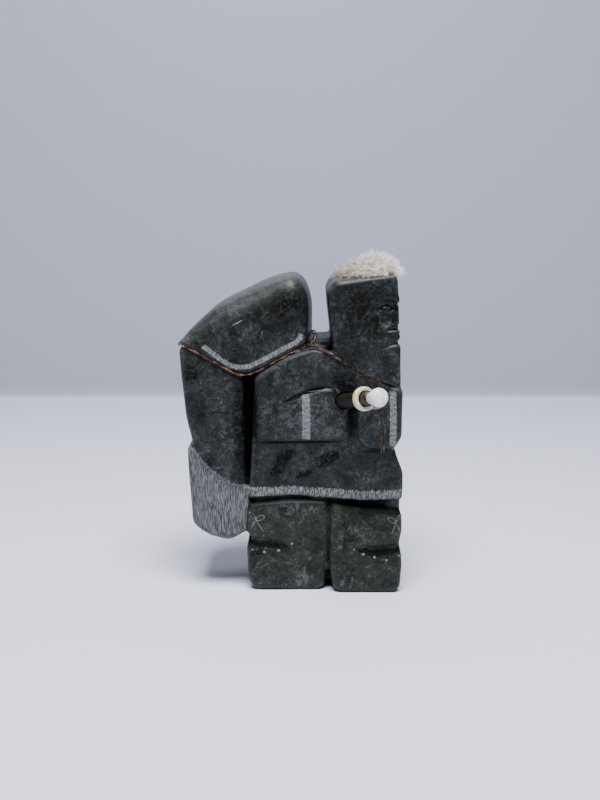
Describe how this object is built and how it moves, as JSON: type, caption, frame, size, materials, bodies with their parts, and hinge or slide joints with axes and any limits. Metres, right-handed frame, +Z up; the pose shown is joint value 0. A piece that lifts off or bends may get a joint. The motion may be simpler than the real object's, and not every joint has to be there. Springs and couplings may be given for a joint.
{
  "type": "soapstone fisherman carving",
  "caption": "Small carved soapstone figure in a hooded parka with a fur tuft, holding a short rod with a ring, a white tip and a copper line.",
  "frame": {"origin": "on the left boot's flat sole, at the middle of the figure's width", "axes": "+Z up, +X to the right seen from the broad near side, which faces -Y"},
  "size_m": [0.0824, 0.0654, 0.1238],
  "materials": {
    "soapstone": "hand polished, satin",
    "fur": "loose cream fur",
    "dark_wood": "dark, oiled",
    "antler": "polished antler or bone, cream",
    "bone": "polished bone, white",
    "copper": "bare copper wire, slightly dulled"
  },
  "bodies": {
    "root": {"stone_figure": "soapstone", "fur_tuft": "fur", "rod_shaft": "dark_wood", "ivory_ring": "antler", "bone_tip": "bone", "copper_wire": "copper"}
  },
  "joints": []
}
